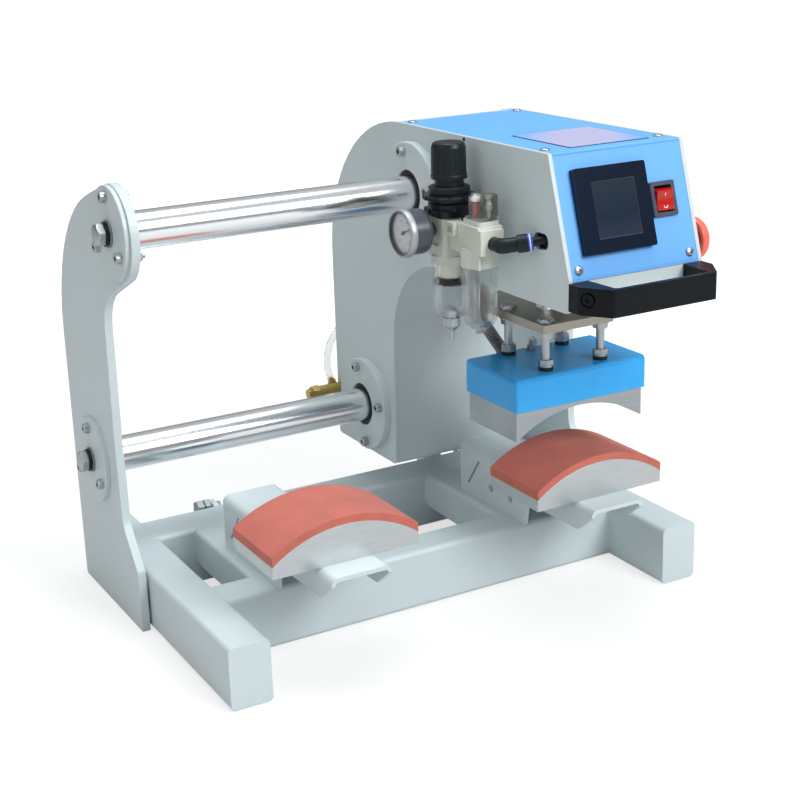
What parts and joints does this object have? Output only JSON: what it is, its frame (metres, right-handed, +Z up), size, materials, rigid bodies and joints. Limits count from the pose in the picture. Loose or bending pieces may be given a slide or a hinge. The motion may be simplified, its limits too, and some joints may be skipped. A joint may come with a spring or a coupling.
{
  "type": "heat press",
  "caption": "Pneumatic cap heat press: gooseneck carriage slides on two shafts between two crowned platens; an air cylinder lowers the hollowed heated block.",
  "frame": {"origin": "middle of the footprint on the floor: centre of the bounding box at its underside", "axes": "+X along the guide shafts to the operator's right, +Y towards the back, +Z up; the handle faces -Y"},
  "size_m": [0.566, 0.4884, 0.4614],
  "materials": {
    "frame_paint": "semi-gloss powder coat",
    "plate_paint": "semi-gloss powder coat",
    "panel_blue": "satin powder coat",
    "cover_blue": "gloss heat-resistant enamel",
    "shaft_steel": "ground hard chrome",
    "zinc_steel": "bright zinc plate",
    "dark_steel": "black oxide",
    "flange_steel": "satin",
    "bearing_steel": "ground",
    "cast_aluminium": "machined",
    "cylinder_aluminium": "anodised",
    "plate_steel": "rolled",
    "silicone_red": "matt",
    "black_nylon": "fine texture",
    "black_gloss": "gloss",
    "red_gloss": "gloss",
    "fibre_black": "matt",
    "cream_cast": "satin",
    "clear_bowl": "clear polycarbonate",
    "brass_metal": "turned",
    "gauge_steel": "gloss",
    "hose_clear": "translucent polyurethane",
    "conduit_grey": "braided sleeve"
  },
  "bodies": {
    "base": {"feet": "frame_paint", "rails": "frame_paint", "cross_tubes": "frame_paint", "left_end_plate": "plate_paint", "right_end_plate": "plate_paint", "shaft_end_caps": "flange_steel", "end_cap_screws": "zinc_steel", "shaft_end_bolts": "zinc_steel", "guide_shafts": "shaft_steel", "platen_supports": "frame_paint", "left_platen": "cast_aluminium", "right_platen": "cast_aluminium", "platen_screws": "zinc_steel", "left_pad": "silicone_red", "right_pad": "silicone_red", "stop_bolts": "dark_steel"},
    "carriage": {"carriage_left_plate": "plate_paint", "carriage_right_plate": "plate_paint", "rear_cover": "plate_paint", "front_cover": "plate_paint", "top_panel": "panel_blue", "front_panel": "panel_blue", "bushing_flanges": "flange_steel", "linear_bushings": "bearing_steel", "bushing_screws": "zinc_steel", "panel_screws": "zinc_steel", "handle": "black_nylon", "handle_screws": "dark_steel", "controller_case": "black_gloss", "rocker_frame": "black_gloss", "estop_base": "black_nylon", "air_cylinder": "cylinder_aluminium", "cylinder_plate": "plate_steel", "solenoid_valve": "black_nylon", "frl_bracket": "black_nylon", "filter_body": "cream_cast", "regulator_bonnet": "black_nylon", "filter_bowl": "clear_bowl", "lubricator_body": "cream_cast", "lubricator_bowl": "clear_bowl", "sight_dome": "clear_bowl", "gauge_case": "gauge_steel", "outlet_elbow": "black_nylon", "inlet_fitting": "brass_metal", "inlet_hose": "hose_clear"},
    "press": {"piston_rod": "shaft_steel", "press_plate": "plate_steel", "standoff_studs": "zinc_steel", "stud_nuts": "zinc_steel", "stud_washers": "fibre_black", "heater_cover": "cover_blue", "heat_block": "cast_aluminium", "heater_conduit": "conduit_grey"},
    "regulator_knob": {"regulator_knob": "black_nylon"},
    "drain_valve": {"drain_valve": "brass_metal"},
    "lubricator_screw": {"lubricator_screw": "brass_metal"},
    "gauge_needle": {"gauge_needle": "black_nylon"},
    "rocker": {"rocker": "red_gloss"},
    "estop_stem": {"estop_stem": "zinc_steel"},
    "estop_head": {"estop_head": "red_gloss"}
  },
  "joints": [
    {"name": "carriage_slide", "type": "slide", "parent": "base", "child": "carriage", "axis": [1, 0, 0], "range_m": [-0.251, 0.024]},
    {"name": "press_slide", "type": "slide", "parent": "carriage", "child": "press", "axis": [0, 0, 1], "range_m": [-0.04, 0]},
    {"name": "regulator_turn", "type": "hinge", "parent": "carriage", "child": "regulator_knob", "pos_m": [0.014, -0.058, 0.44], "axis": [0, 0, 1], "range_deg": [-900, 900]},
    {"name": "drain_turn", "type": "hinge", "parent": "carriage", "child": "drain_valve", "pos_m": [0.014, -0.058, 0.29], "axis": [0, 0, 1], "range_deg": [0, 90]},
    {"name": "lubricator_turn", "type": "hinge", "parent": "carriage", "child": "lubricator_screw", "pos_m": [0.0195, -0.1155, 0.4], "axis": [0, 0, 1], "range_deg": [-360, 360]},
    {"name": "gauge_needle_turn", "type": "hinge", "parent": "carriage", "child": "gauge_needle", "pos_m": [-0.033, -0.056, 0.382], "axis": [-1, 0, 0], "range_deg": [-69, 201]},
    {"name": "rocker_tilt", "type": "hinge", "parent": "carriage", "child": "rocker", "pos_m": [0.1535, -0.1807, 0.40842], "axis": [1, 0, 0], "range_deg": [-20, 0]},
    {"name": "estop_push", "type": "slide", "parent": "carriage", "child": "estop_stem", "axis": [1, 0, 0], "range_m": [-0.004, 0], "stiffness_N_per_m": 2000, "springref_m": 0.002},
    {"name": "estop_twist", "type": "hinge", "parent": "estop_stem", "child": "estop_head", "pos_m": [0.2, -0.165, 0.3645], "axis": [1, 0, 0], "range_deg": [0, 30]}
  ]
}
